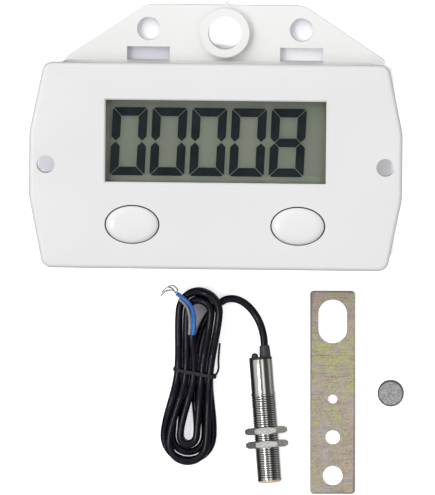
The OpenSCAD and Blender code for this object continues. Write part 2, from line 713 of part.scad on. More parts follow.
module sensor_cap() {
    r = neck_d / 2;
    plug_r = sensor_bore / 2 - 0.05;
    color([0.1, 0.1, 0.1]) sensor_place() difference() {
        along_sensor([[0, 0], [r - 0.3, 0], [r, 0.2], [r, 0.7], [plug_r, 0.7], [plug_r, 4], [0, 4]]);
        translate([led_at, 0, 0]) rotate([90, 0, 0]) translate([0, 0, -past]) cylinder(h = 4 + 2 * past, r = led_r + 0.05);
        translate([relief_at, 0, 0]) rotate([90, 0, 0]) translate([0, 0, -past]) cylinder(h = 4 + 2 * past, r = 1.25);
    }
}

module sensor_led() {
    out = 0.35;
    color([0.35, 0.33, 0.3]) sensor_place() translate([led_at, out, 0]) {
        rotate([90, 0, 0]) cylinder(h = 3.6 + out, r = led_r);
        sphere(r = led_r);
    }
}

module strain_relief() {
    color([0.12, 0.12, 0.13]) sensor_place() translate([relief_at, 0, 0]) {
        rotate([90, 0, 0]) cylinder(h = 3.6, r = 1.2);
        rotate([-90, 0, 0]) rotate_extrude() polygon([[0, 0], [1.85, 0], [1.65, relief_len - 0.2],
            [1.45, relief_len], [0, relief_len]]);
    }
}

module sensing_face() {
    r = neck_d / 2;
    plug_r = sensor_bore / 2 - 0.05;
    color([0.85, 0.55, 0.25]) sensor_place() along_sensor([[0, thread_to - 3.2], [plug_r, thread_to - 3.2],
        [plug_r, thread_to], [r, thread_to], [r, thread_to + 0.45], [r - 0.7, sensor_len - 0.12], [r - 1.8, sensor_len],
        [0, sensor_len]]);
}

module sensor_board() {
    color([0.1, 0.4, 0.22]) sensor_place() translate([-2.2, -thread_to + 4, -1.6]) cube([4.4, 31, 0.8]);
}

module reed_capsule() {
    color([0.7, 0.85, 0.75, 0.6]) sensor_place() translate([0, -29, 0.25]) {
        rotate([90, 0, 0]) cylinder(h = 6, r = 1, center = true);
        for (end = [-3, 3]) translate([0, end, 0]) sphere(r = 1);
        rotate([90, 0, 0]) cylinder(h = 13, r = 0.25, center = true);
    }
}

module nut(s) {
    sensor_place() translate([0, -s, 0]) rotate([90, 0, 0]) difference() {
        intersection() {
            cylinder(h = nut_t, d = nut_af / cos(30), center = true, $fn = 6);
            rotate_extrude() polygon([[0, -nut_t / 2], [nut_af / 2, -nut_t / 2], [nut_af / 2 + 1, -nut_t / 2 + 0.55],
                [nut_af / 2 + 1, nut_t / 2 - 0.55], [nut_af / 2, nut_t / 2], [0, nut_t / 2]]);
        }
        cylinder(h = nut_t + 2 * past, r = thread_d / 2 + 0.06, center = true);
    }
}

module nut_rear() {
    color([0.72, 0.72, 0.74]) nut(nut_rear_s);
}

module nut_front() {
    color([0.72, 0.72, 0.74]) nut(nut_front_s);
}

module cable_run() {
    way_out = on_ground([hank_start_way.x, hank_start_way.y, 0]) - on_ground([0, 0, 0]);
    color([0.14, 0.14, 0.18]) tube(run_path, cord_d, 8, sensor_way, way_out);
}

module cable_hank() {
    color([0.14, 0.14, 0.18]) tube([for (p = hank_path) on_ground(p)], cord_d, 6);
}

module cable_tail() {
    path = concat([[0, hank_end_v, layer_z[1] + tie_lift]], tail_points);
    color([0.14, 0.14, 0.18]) tube([for (p = path) on_ground(p)], cord_d, 8);
}

module wire_blue() {
    color([0.2, 0.5, 0.92]) tube([for (p = blue_points) on_ground(p)], 1.4, 8);
}

module wire_grey() {
    color([0.6, 0.58, 0.53]) tube([for (p = grey_points) on_ground(p)], 0.9, 8);
}

module wire_strands() {
    color([0.75, 0.72, 0.68]) for (strand = strand_points) tube([for (p = strand) on_ground(p)], 0.4, 6);
}

module cable_tie() {
    band_w = 1.2;
    band_t = 0.9;
    inner = [13.2, 5.5];
    color([0.13, 0.13, 0.15]) {
        translate(on_ground([tie_at.x, tie_at.y, band_t + 0.05 + inner[1] / 2])) rotate([0, 0, -hank_lean - tie_turn])
            rotate([90, 0, 0]) translate([0, 0, -band_w / 2]) linear_extrude(band_w) difference() {
                polygon(rounded(box_corners(inner[0] + 2 * band_t, inner[1] + 2 * band_t, 1.9)));
                polygon(rounded(box_corners(inner[0], inner[1], 1)));
            }
        tube([for (p = tie_points) on_ground(p)], 0.8, 8);
    }
}

module mounting_bracket() {
    color([0.72, 0.65, 0.5]) translate([strip_at.x, strip_at.y, 0]) rotate([0, 0, strip_turn])
        linear_extrude(strip_t) difference() {
        polygon(rounded(box_corners(strip_w, strip_len, 1.1)));
        translate([0, strip_slot[2]]) {
            straight = strip_slot[1] - strip_slot[0];
            square([strip_slot[0], straight], center = true);
            for (side = [-1, 1]) translate([0, side * straight / 2]) circle(d = strip_slot[0]);
        }
        for (hole = strip_holes) translate([0, hole[1]]) circle(d = hole[0]);
    }
}

module magnet() {
    r = magnet_d / 2;
    bevel = 0.3;
    color([0.5, 0.5, 0.5]) translate([magnet_at.x, magnet_at.y, 0]) rotate_extrude()
        polygon([[0, 0], [r - bevel, 0], [r, bevel], [r, magnet_t - bevel], [r - bevel, magnet_t], [0, magnet_t]]);
}

front_shell();
rear_shell();
lcd_front_glass();
lcd_segments();
lcd_rear_glass();
lcd_reflector();
lcd_holder();
zebra_strip();
circuit_board();
chip_blob();
board_parts();
tact_switches();
pause_button();
pause_plunger();
reset_button();
reset_plunger();
battery();
battery_spring();
battery_contact();
battery_door();
terminal_block();
terminal_screws();
case_screws();
board_screws();
sensor_barrel();
sensor_cap();
sensor_led();
strain_relief();
sensing_face();
sensor_board();
reed_capsule();
nut_rear();
nut_front();
cable_run();
cable_hank();
cable_tail();
wire_blue();
wire_grey();
wire_strands();
cable_tie();
mounting_bracket();
magnet();
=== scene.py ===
"""Looks of the digital tally counter with its sensor, cable, mounting strip and magnet."""

import math
import random

import bmesh
import bpy
import numpy as np
from mathutils import Matrix, Vector


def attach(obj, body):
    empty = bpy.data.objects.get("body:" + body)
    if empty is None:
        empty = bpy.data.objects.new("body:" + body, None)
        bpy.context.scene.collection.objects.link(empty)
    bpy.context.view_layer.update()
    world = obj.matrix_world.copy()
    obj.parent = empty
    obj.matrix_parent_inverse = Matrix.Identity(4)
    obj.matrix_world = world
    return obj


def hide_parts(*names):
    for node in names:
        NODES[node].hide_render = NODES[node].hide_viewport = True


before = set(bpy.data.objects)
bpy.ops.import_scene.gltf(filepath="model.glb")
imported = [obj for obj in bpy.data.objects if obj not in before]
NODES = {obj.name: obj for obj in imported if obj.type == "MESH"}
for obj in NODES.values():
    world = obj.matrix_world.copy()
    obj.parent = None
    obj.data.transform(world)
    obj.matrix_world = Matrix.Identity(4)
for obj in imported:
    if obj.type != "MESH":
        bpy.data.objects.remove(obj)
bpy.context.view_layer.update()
MM = 0.001


def mm(*lengths):
    """Lengths in millimetres, as metres."""
    return [length * MM for length in lengths]


# ---------------------------------------------------------------- camera
# In pixels, millimetres and degrees.

PICTURE = (435, 495)
PIXELS_PER_MM = 3.0999
CAMERA_DISTANCE = 2500
CAMERA_TILT = (1.8, 5.5)
CAMERA_ROLL = 0.49
CAMERA_TARGET = Vector((0.92, -26.36, 22.0))
SENSOR_WIDTH = 36


def make_camera():
    """The photograph's viewing angle: from far above, leaning a little to the ear."""
    sx, sy = (math.sin(math.radians(a)) for a in CAMERA_TILT)
    back = Vector((sx, sy, math.sqrt(1 - sx * sx - sy * sy)))
    right = (-back).cross(Vector((0, 1, 0))).normalized()
    up = right.cross(-back)
    roll = math.radians(CAMERA_ROLL)
    across = right * math.cos(roll) + up * math.sin(roll)
    upward = up * math.cos(roll) - right * math.sin(roll)
    data = bpy.data.cameras.new("camera")
    data.sensor_width = SENSOR_WIDTH
    data.lens = PIXELS_PER_MM * CAMERA_DISTANCE * SENSOR_WIDTH / max(PICTURE)
    data.clip_start, data.clip_end = 0.05, 20
    camera = bpy.data.objects.new("camera", data)
    bpy.context.scene.collection.objects.link(camera)
    place = Matrix((across, upward, back)).transposed().to_4x4()
    place.translation = (CAMERA_TARGET + back * CAMERA_DISTANCE) * MM
    camera.matrix_world = place
    bpy.context.scene.camera = camera


make_camera()

# ---------------------------------------------------------------- route of the cable, as in the CAD source
# In millimetres and degrees. u runs across the hank and v along it, from its middle, and z is the height.

SENSOR_AT = Vector((14.65, -63.77, 3.76))
SENSOR_TURN, SENSOR_RISE = 5, 5.62
RELIEF_AT, RELIEF_LEN = 1.55, 3.7
CORD_D = 2.4
HANK_AT = (-7, -69.2)
HANK_LEAN = 4.6
TOP_V, BOTTOM_V, LOW_V, LOW_R = 20.3, -21, -23.1, 6.1
TOP_R0, BOTTOM_R0 = 3.9, 2.7
LOBE_STEP, WAIST_STEP = 2.65, 2.6
LAYER_Z = (1.25, 4.2)
TIE_LIFT, TIE_LIFT_FROM, TIE_LIFT_OVER = 1, 9, 6
CLIMB_OVER = 10
ENTRY_FROM, ENTRY_OVER, ENTRY_STEP = (-3.9, 5), (7.8, 12), 1.5
ENTRY_MARKS = [(3.3, 20.8), (0, 14.5), (0, 6)]
HANK_END_V = -3
HANK_START, HANK_START_WAY = (8, 24.6), (-0.777, -0.629)
RUN_POINTS = [
    (15.25, -55.55, 2.8),
    (14.25, -52.7, 2),
    (12.6, -49.85, 1.5),
    (10.6, -47.5, 1.3),
    (8.1, -45.7, 1.25),
    (5.55, -44.95, 1.25),
]
TAIL_POINTS = [
    (0, 0, 5.2),
    (-0.1, 3.4, 5.5),
    (-0.6, 7, 6),
    (-1.3, 10.2, 6.3),
    (-1.65, 12.55, 6.3),
]
BLUE_D, GREY_D = 1.4, 0.9
BLUE_POINTS = [
    (-1.24, 12.55, 6.3),
    (-1.33, 16.9, 6.5),
    (-2.2, 20.9, 7.05),
    (-3.9, 23.2, 7.1),
    (-6.05, 24.65, 6.6),
    (-7.65, 25.6, 6),
]
GREY_POINTS = [
    (-2.5, 12.6, 6.25),
    (-2.76, 16.95, 6.4),
    (-3.62, 20.65, 6.45),
    (-5.2, 22.65, 6.3),
    (-6.93, 23.8, 5.85),
]
STRAND_POINTS = [
    [(-7.9, 25.8, 5.55), (-9.6, 26.55, 5.1), (-11.6, 25.7, 4.4), (-12.7, 24.25, 3.9)],
    [(-8.25, 25.6, 6.05), (-9.15, 27, 6), (-10.9, 27.25, 5.6), (-12.65, 25.6, 5.1)],
    [(-7.85, 25.95, 6.4), (-7.65, 27.15, 6.5), (-9.05, 28.05, 6.4), (-10.65, 27.9, 6.1)],
]
TIE_AT, TIE_TURN = (0.3, 0.12), 5.6
MAGNET_AT = (57.1, -75.3)
STRIP_AT, STRIP_SIZE = (38.18, -75.4), (14.6, 66.4)
SENSOR_PLACE = (
    Matrix.Translation(SENSOR_AT)
    @ Matrix.Rotation(math.radians(SENSOR_TURN), 4, "Z")
    @ Matrix.Rotation(math.radians(-SENSOR_RISE), 4, "X")
)

# How finely the cable is drawn: points for each run and each lobe, steps in millimetres, rounds of smoothing.
POINTS_EACH, FREE_STEP, CABLE_STEP, ROUNDS, FIXED = 24, 0.5, 0.6, 5, 3


def smooth(t):
    """From 0 to 1 with soft ends, as t goes from 0 to 1."""
    c = min(max(t, 0), 1)
    return c * c * (3 - 2 * c)


def mix(a, b, t):
    return a + (b - a) * t


def over_entry(u, v, layer):
    """How far a turn is lifted where it crosses over the cable's way into the hank."""
    near_u, near_v = (
        smooth((place - start + ENTRY_STEP * layer) / over)
        for place, start, over in zip((u, v), ENTRY_FROM, ENTRY_OVER)
    )
    return (LAYER_Z[1] - LAYER_Z[0]) * (near_u * near_v)


def over_tie(v):
    """How far a run is lifted at the waist, where the tie goes under the hank."""
    return TIE_LIFT * smooth((TIE_LIFT_FROM - abs(v)) / TIE_LIFT_OVER)


def run_u(u_top, u_waist, u_end, v, v_end):
    """A run's place across the hank, which narrows at its waist."""
    if v > 0:
        return mix(u_waist, u_top, smooth(v / TOP_V))
    return mix(u_waist, u_end, smooth(v / v_end))


# Turn k of the hank: the radii and middles of its lobes, then its runs and lobes as t goes from 0 to 1.


def bottom_r(k):
    return LOW_R if k == 3 else BOTTOM_R0 + LOBE_STEP * (2 - abs(k - 2))


def bottom_c(k):
    return LOW_V if k == 3 else BOTTOM_V


def top_r(k):
    return TOP_R0 + LOBE_STEP * min(k, 3 - k)


def right_run(k, t):
    v = mix(TOP_V, bottom_c(k), t)
    u = run_u(top_r(k - 1), WAIST_STEP * min(k, 5 - k), bottom_r(k), v, bottom_c(k))
    layer = 0 if k < 3 else 1
    return u, v, LAYER_Z[layer] + over_entry(u, v, layer) + over_tie(v)


def left_run(k, t):
    v = mix(bottom_c(k), TOP_V, t)
    u = run_u(-top_r(k), -WAIST_STEP * min(k + 1, 4 - k), -bottom_r(k), v, bottom_c(k))
    climb = 0 if k < 2 else 1 if k > 2 else smooth((v - BOTTOM_V) / CLIMB_OVER)
    return u, v, mix(*LAYER_Z, climb) + over_entry(u, v, 0 if k < 2 else 1) + over_tie(v)


def bottom_lobe(k, t):
    r, q = bottom_r(k), math.pi * t
    return r * math.cos(q), bottom_c(k) - r * math.sin(q), LAYER_Z[0 if k < 3 else 1]


def top_lobe(k, t):
    r, q = top_r(k), math.pi * t
    u, v, layer = -r * math.cos(q), TOP_V + r * math.sin(q), 0 if k < 2 else 1
    return u, v, LAYER_Z[layer] + over_entry(u, v, layer)


def first_curve(t):
    """The cable's way into the hank."""
    start = [p + CORD_D * w for p, w in zip(HANK_START, HANK_START_WAY)]
    shares = [(1 - t) ** 3, 3 * t * (1 - t) ** 2, 3 * t * t * (1 - t), t**3]
    u, v = (sum(s * m[i] for s, m in zip(shares, [start, *ENTRY_MARKS])) for i in (0, 1))
    return u, v, LAYER_Z[0] + over_tie(v)


def first_run(t):
    v = mix(ENTRY_MARKS[-1][1], BOTTOM_V, t)
    return run_u(0, 0, bottom_r(0), v, BOTTOM_V), v, LAYER_Z[0] + over_tie(v)


def last_run(t):
    v = mix(BOTTOM_V, HANK_END_V - CORD_D, t)
    return run_u(0, 0, -bottom_r(4), v, BOTTOM_V), v, LAYER_Z[1] + over_tie(v)


def on_ground(p):
    """A point of the hank, from its own u, v and z."""
    c, s = math.cos(math.radians(HANK_LEAN)), math.sin(math.radians(HANK_LEAN))
    return Vector((HANK_AT[0] + p[0] * c + p[1] * s, HANK_AT[1] - p[0] * s + p[1] * c, p[2]))


def rounded_way(points, step):
    """Points close together on a smooth curve through points, every step millimetres or so."""
    p = [Vector(q) for q in points]
    p = [2 * p[0] - p[1], *p, 2 * p[-1] - p[-2]]
    way = []
    for a, b, c, d in zip(p, p[1:], p[2:], p[3:]):
        square, cube = 2 * a - 5 * b + 4 * c - d, 3 * b - a - 3 * c + d
        count = max(2, round((c - b).length / step))
        for i in range(count):
            t = i / count
            way.append(0.5 * (2 * b + (c - a) * t + square * t * t + cube * t**3))
    return [*way, p[-2]]


def on_hank(points, step):
    """A smooth line through points that are given in the hank's own u, v and z."""
    return rounded_way([on_ground(p) for p in points], step)


def evened(points, step):
    """The same line with its points step apart."""
    p = np.array([tuple(q) for q in points], float)
    at = np.concatenate([[0], np.cumsum(np.linalg.norm(np.diff(p, axis=0), axis=1))])
    marks = np.linspace(0, at[-1], max(3, round(at[-1] / step)))
    return np.stack([np.interp(marks, at, p[:, i]) for i in range(3)], axis=1)


def relaxed(p):
    """The line with its small kinks taken out. A few points at each end stay."""
    for _ in range(ROUNDS):
        q = p.copy()
        q[1:-1] = 0.25 * p[:-2] + 0.5 * p[1:-1] + 0.25 * p[2:]
        q[:FIXED], q[-FIXED:] = p[:FIXED], p[-FIXED:]
        p = q
    return p


def cable_route():
    """The whole cable's middle line in millimetres: free run, hank and tail."""

    def along(curve, *k):
        return [curve(*k, i / POINTS_EACH) for i in range(POINTS_EACH)]

    hank = along(first_curve) + along(first_run) + along(bottom_lobe, 0) + along(left_run, 0)
    for k in (1, 2, 3):
        hank += along(top_lobe, k - 1) + along(right_run, k) + along(bottom_lobe, k) + along(left_run, k)
    hank += along(top_lobe, 3) + along(right_run, 4) + along(bottom_lobe, 4) + along(last_run)
    tip = SENSOR_PLACE @ Vector((RELIEF_AT, RELIEF_LEN, 0))
    way = (SENSOR_PLACE.to_3x3() @ Vector((0, 1, 0))).normalized()
    start = on_ground((*HANK_START, LAYER_Z[0]))
    free = [tip, tip + way * CORD_D, *RUN_POINTS, start, on_ground(first_curve(0))]
    tail = [last_run(1), (0, HANK_END_V, LAYER_Z[1] + TIE_LIFT), *TAIL_POINTS]
    whole = rounded_way(free, FREE_STEP)[:-1] + [on_ground(p) for p in hank] + on_hank(tail, FREE_STEP)
    return relaxed(evened(whole, CABLE_STEP))


# ---------------------------------------------------------------- looks


def grey(level):
    """A neutral colour."""
    return (level, level, level)


def feed(tree, socket, value):
    """Links a socket to another one, or sets its constant."""
    if isinstance(value, bpy.types.NodeSocket):
        tree.links.new(value, socket)
    else:
        socket.default_value = value


def math_node(tree, kind, a, b=0.0):
    """The result of one arithmetic step on numbers or sockets."""
    made = tree.nodes.new("ShaderNodeMath")
    made.operation = kind
    feed(tree, made.inputs[0], a)
    feed(tree, made.inputs[1], b)
    return made.outputs["Value"]


class Look:
    """A node material with a Principled shader. Sizes are in millimetres."""

    def __init__(self, name, rough=0.5, metal=0.0, **sockets):
        self.mat = bpy.data.materials.new(name)
        self.mat.use_nodes = True
        self.tree = self.mat.node_tree
        self.shader = self.tree.nodes["Principled BSDF"]
        self.at = self.node("ShaderNodeTexCoord").outputs["Object"]
        self.set("Roughness", rough)
        self.set("Metallic", metal)
        for socket, value in sockets.items():
            self.set(socket.replace("_", " "), value)

    @staticmethod
    def rgba(colour):
        return (*colour, 1.0) if isinstance(colour, tuple) else colour

    def set(self, socket, value):
        feed(self.tree, self.shader.inputs[socket], value)

    def now(self, socket):
        """What feeds a socket of the shader so far."""
        return self.shader.inputs[socket].links[0].from_socket

    def node(self, kind, settings=(), **sockets):
        made = self.tree.nodes.new(kind)
        for key, value in dict(settings).items():
            setattr(made, key, value)
        for key, value in sockets.items():
            feed(self.tree, made.inputs[key.replace("_", " ")], value)
        return made

    def noise(self, size, detail=2.0, rough=0.5, stretch=None, turn=(0, 0, 0)):
        """Cloudy noise from 0 to 1 whose blots are about size across."""
        at = self.at
        if stretch:
            at = self.node("ShaderNodeMapping", Vector=at, Scale=stretch, Rotation=turn).outputs["Vector"]
        made = self.node(
            "ShaderNodeTexNoise", Vector=at, Scale=1 / (size * MM), Detail=detail, Roughness=rough
        )
        return made.outputs["Fac"]

    def span(self, value, low, high, start=0.0, end=1.0):
        """From start to end with soft ends, as value goes from low to high."""
        soft = {"interpolation_type": "SMOOTHSTEP"}
        made = self.node(
            "ShaderNodeMapRange", soft, Value=value, From_Min=low, From_Max=high, To_Min=start, To_Max=end
        )
        return made.outputs["Result"]

    def calc(self, kind, a, b=0.0):
        return math_node(self.tree, kind, a, b)

    def blend(self, share, a, b):
        """Colour a, with a share of colour b."""
        made = self.node("ShaderNodeMix", {"data_type": "RGBA"})
        for i, value in ((0, share), (6, self.rgba(a)), (7, self.rgba(b))):
            feed(self.tree, made.inputs[i], value)
        return made.outputs[2]

    def tones(self, value, a, b, low=0.3, high=0.7):
        """From colour a to colour b, as value goes from low to high."""
        return self.blend(self.span(value, low, high), a, b)

    def parts(self):
        """Object coordinates as x, y and z in metres."""
        return self.node("ShaderNodeSeparateXYZ", Vector=self.at).outputs[:3]

    def bump(self, height, depth, under=None):
        """A bump of that depth, on top of another one if it is given."""
        made = self.node("ShaderNodeBump", Height=height, Distance=depth * MM)
        if under:
            feed(self.tree, made.inputs["Normal"], under)
        self.set("Normal", made.outputs["Normal"])
        return made.outputs["Normal"]


def moulded(name, colour, rough, grain, depth, tone, blot):
    """Moulded plastic: faint tone clouds, a fine grain and a soft uneven gloss."""
    look = Look(name)
    darker, darkest = (tuple(c * (1 - k * tone) for c in colour) for k in (1, 2))
    clouds = look.noise(blot, 3)
    fine = look.noise(grain, 2, 0.6)
    specks = look.calc("MULTIPLY", look.span(fine, 0.25, 0.42, 1.0, 0.0), 0.35)
    look.set("Base Color", look.blend(specks, look.tones(clouds, darker, colour), darkest))
    look.set("Roughness", look.span(clouds, 0.2, 0.8, rough - 0.05, rough + 0.07))
    look.bump(fine, depth)
    return look


def metallic(name, colour, rough, grain, depth, tone, stretch=None):
    """Bare or plated metal with fine tooling marks and slight stains."""
    look = Look(name, metal=1.0)
    marks = look.noise(grain, 4, 0.6, stretch)
    stains = look.noise(3.5, 4, 0.6)
    darker = tuple(c * (1 - tone) for c in colour)
    look.set("Base Color", look.tones(stains, colour, darker, 0.35, 0.7))
    look.set("Roughness", look.span(marks, 0.3, 0.7, rough * 0.75, rough * 1.3))
    look.bump(marks, depth)
    return look


def button_white():
    """Glossy white cap. Its side and rim carry a painted shade of the deep gap round the cap, but not at the
    end towards the bottom.
    """
    look = moulded("button_white", grey(0.64), 0.2, 0.5, 0.0015, 0.01, 28)
    low_end, rim, rim_grows = mm(-24.8, -22), mm(21.5, 21.75), 0.2 * MM
    _, y, z = look.parts()
    upper = look.span(y, *low_end, 0.1, 1.0)
    height = look.calc("SUBTRACT", z, look.calc("MULTIPLY", upper, rim_grows))
    side = look.span(height, *rim, 1.0, 0.0)
    # Painted shade: the cap's side and rim go nearly black, as the deep gap round the cap would look, and
    # much less so towards the bottom.
    painted_gap_shade = look.calc("MULTIPLY", side, upper)
    look.set("Base Color", look.blend(painted_gap_shade, look.now("Base Color"), grey(0.012)))
    return look


def display_glass():
    """Clear glass that only mirrors a little, so what lies under it keeps its colour."""
    look = Look("display_glass")
    least, most, steep = 0.01, 0.9, 5.0
    clear = look.node("ShaderNodeBsdfTransparent", Color=(0.985, 0.988, 0.98, 1))
    smears = look.noise(9, 3, 0.6, (1, 0.35, 1), (0, 0, 0.5))
    shine = look.span(smears, 0.35, 0.75, 0.05, 0.16)
    gloss = look.node("ShaderNodeBsdfGlossy", Color=(1, 1, 1, 1), Roughness=shine)
    facing = look.node("ShaderNodeLayerWeight", Blend=0.5).outputs["Facing"]
    mirror = look.calc("ADD", look.calc("MULTIPLY", look.calc("POWER", facing, steep), most), least)
    both = look.node("ShaderNodeMixShader")
    for i, value in enumerate((mirror, clear.outputs["BSDF"], gloss.outputs["BSDF"])):
        feed(look.tree, both.inputs[i], value)
    out = next(n for n in look.tree.nodes if n.type == "OUTPUT_MATERIAL")
    feed(look.tree, out.inputs["Surface"], both.outputs["Shader"])
    look.tree.nodes.remove(look.shader)
    return look


def display_back():
    """Grey green reflector with a satin grain, paler below as a painted light against the window edge's
    shadow, and browner in bands at the sides.
    """
    look = Look("display_back")
    grain = look.noise(0.28, 2, 0.7)
    base = look.tones(look.noise(22, 2), (0.158, 0.175, 0.140), (0.184, 0.200, 0.161))
    base = look.blend(look.span(grain, 0.3, 0.7, 0.0, 0.5), base, (0.123, 0.139, 0.113))
    x, y, _ = look.parts()
    # Painted light: paler along the bottom, where the window's edge shades the reflector. The bands at the
    # sides are browner.
    painted_light_below = (y, mm(-3.9, -2.9), (0.2, 0.0), (0.36, 0.385, 0.315))
    right = (x, mm(33.7, 34.0), (0.0, 0.6), (0.155, 0.152, 0.122))
    left = (x, mm(-34.6, -34.1), (1.0, 0.0), (0.25, 0.236, 0.2))
    for place, edge, share, colour in (painted_light_below, right, left):
        base = look.blend(look.span(place, *edge, *share), base, colour)
    look.set("Base Color", base)
    look.bump(grain, 0.01)
    return look


def segment_ink():
    """The display's dark digits, nearly black and dull."""
    look = Look("segment_ink", Specular_IOR_Level=0.1)
    look.set("Base Color", look.tones(look.noise(5, 3), (0.005, 0.008, 0.011), (0.010, 0.014, 0.019)))
    look.set("Roughness", look.span(look.noise(0.5), 0.3, 0.7, 0.4, 0.55))
    return look


def strip_rubber():
    """Zebra rubber: thin black layers between pale ones, with a plain skin at the front."""
    look = Look("strip_rubber", 0.6)
    pitch, skin_ends = 1.2, mm(-8.9, -7.9)
    layers = look.node("ShaderNodeTexWave", {"bands_direction": "X"}, Vector=look.at, Scale=1 / (pitch * MM))
    wide = look.span(layers.outputs["Fac"], 0.35, 0.65)
    inner = look.span(look.span(look.parts()[1], *skin_ends), 0.45, 0.55)
    skin = look.blend(look.noise(2), (0.62, 0.42, 0.42), (0.7, 0.52, 0.5))
    core = look.blend(wide, grey(0.02), (0.66, 0.58, 0.5))
    look.set("Base Color", look.blend(inner, skin, core))
    look.bump(wide, 0.02)
    return look


def board_green():
    """Solder mask over copper tracks and ground areas, with small tinned pads."""
    look = Look("board_green", 0.3)
    lane, pad_pitch = 5.2, 3.1
    lanes = look.node(
        "ShaderNodeTexBrick",
        {"offset": 0.37, "squash": 1.4, "squash_frequency": 3},
        Vector=look.at,
        Scale=1 / (lane * MM),
        Mortar_Size=0.05,
        Brick_Width=1.1,
        Row_Height=0.3,
    )
    tracks = lanes.outputs["Fac"]
    dots = look.node("ShaderNodeTexVoronoi", Vector=look.at, Scale=1 / (pad_pitch * MM)).outputs["Distance"]
    pads, holes = look.span(dots, 0.16, 0.19, 1.0, 0.0), look.span(dots, 0.07, 0.09, 1.0, 0.0)
    mask = look.blend(tracks, (0.012, 0.095, 0.035), (0.03, 0.2, 0.075))
    mask = look.blend(look.noise(9), mask, (0.016, 0.12, 0.045))
    tinned = look.blend(pads, mask, (0.62, 0.61, 0.58))
    look.set("Base Color", look.blend(holes, tinned, grey(0.02)))
    look.set("Metallic", look.calc("MULTIPLY", pads, 0.8))
    look.bump(look.calc("ADD", tracks, pads), 0.03)
    return look


def cell_wrap():
    """Shrink film of the cell: two plain colours and bare metal ends, with no print."""
    look = Look("cell_wrap", 0.28)
    band, plus_end, minus_end = mm(33, 33.3), mm(47.4, 47.5), mm(-0.9, -0.8)
    x = look.parts()[0]
    film = look.blend(look.noise(6), (0.03, 0.15, 0.09), (0.035, 0.18, 0.11))
    film = look.blend(look.span(x, *band), film, (0.55, 0.55, 0.52))
    ends = look.calc("MAXIMUM", look.span(x, *plus_end), look.span(x, *minus_end, 1.0, 0.0))
    look.set("Base Color", look.blend(ends, film, (0.68, 0.67, 0.64)))
    look.set("Metallic", look.calc("MAXIMUM", ends, look.span(x, *band, 0.0, 0.6)))
    look.bump(look.noise(1.5, 3), 0.02)
    return look


def part_blue():
    """Blue sleeves of the capacitors with bare metal tops, and the plain metal can to the right of them."""
    look = Look("part_blue")
    can_from, top_from = mm(0, 1), mm(5.9, 5.6)
    x, _, z = look.parts()
    sleeves = look.blend(look.noise(2.5), (0.015, 0.03, 0.14), (0.025, 0.045, 0.2))
    metal = look.calc("MAXIMUM", look.span(x, *can_from), look.span(z, *top_from))
    look.set("Base Color", look.blend(metal, sleeves, (0.5, 0.47, 0.42)))
    look.set("Metallic", look.calc("MULTIPLY", metal, 0.8))
    look.set("Roughness", look.span(look.noise(0.6), 0.3, 0.7, 0.25, 0.42))
    look.bump(look.noise(0.8, 3), 0.015)
    return look


def strip_zinc():
    """Zinc plate with a yellow passivation: coloured clouds, cross scratches, a grain and dark edges."""
    look = Look("strip_zinc", metal=0.25)
    x, y, _ = look.parts()
    even = (1, 1, 1)
    taupe = look.tones(look.noise(2.6, 4, 0.65), (0.285, 0.235, 0.185), (0.385, 0.305, 0.235), 0.35, 0.65)
    lilac = look.span(look.noise(3.4, 4, 0.6, even, (0, 0, 2.3)), 0.5, 0.62, 0.0, 0.7)
    colour = look.blend(lilac, taupe, (0.30, 0.285, 0.315))

    # The green gathers between the slot and the strip's middle.
    above, below_slot = look.span(y, *mm(-80, -64)), look.span(y, *mm(-57, -53), 1.0, 0.0)
    patch = look.calc("MULTIPLY", look.calc("MULTIPLY", above, below_slot), 0.13)
    green = look.span(look.calc("ADD", look.noise(3.2, 4, 0.6), patch), 0.53, 0.65, 0.0, 0.85)
    colour = look.blend(green, colour, (0.32, 0.36, 0.10))
    amber = look.span(look.noise(2.4, 4, 0.6, even, (0, 0, 1.1)), 0.58, 0.68, 0.0, 0.55)
    colour = look.blend(amber, colour, (0.43, 0.31, 0.13))

    grain = look.noise(0.32, 4, 0.7)
    lines = look.noise(2.2, 5, 0.75, (0.3, 6.0, 1))
    colour = look.blend(look.span(lines, 0.53, 0.6, 0.0, 0.85), colour, (0.14, 0.12, 0.1))
    colour = look.blend(look.span(grain, 0.42, 0.66, 0.0, 0.65), colour, (0.5, 0.455, 0.37))
    colour = look.blend(look.span(grain, 0.32, 0.46, 0.75, 0.0), colour, (0.17, 0.145, 0.12))
    edges = []
    for place, middle, size in zip((x, y), STRIP_AT, STRIP_SIZE):
        off = look.calc("ABSOLUTE", look.calc("SUBTRACT", place, middle * MM))
        edges.append(look.span(off, *mm(size / 2 - 0.6, size / 2 - 0.15), 0.0, 0.75))
    look.set("Base Color", look.blend(look.calc("MAXIMUM", *edges), colour, (0.12, 0.115, 0.115)))
    look.set("Roughness", look.span(grain, 0.3, 0.7, 0.34, 0.5))
    look.bump(lines, 0.015, under=look.bump(grain, 0.015))
    return look


def magnet_nickel():
    """Sintered magnet under dull nickel, worn grey and darker round its rim."""
    look = Look("magnet_nickel", metal=0.55)
    x, y = (look.calc("SUBTRACT", p, c * MM) for p, c in zip(look.parts(), MAGNET_AT))
    squares = look.calc("ADD", look.calc("MULTIPLY", x, x), look.calc("MULTIPLY", y, y))
    rim = look.span(look.calc("POWER", squares, 0.5), *mm(3.6, 4.0))
    grain = look.noise(0.35, 5, 0.75)
    look.set("Base Color", look.blend(rim, look.tones(grain, grey(0.13), grey(0.52), 0.36, 0.64), grey(0.1)))
    look.set("Roughness", look.span(grain, 0.3, 0.7, 0.35, 0.55))
    look.bump(grain, 0.02)
    return look


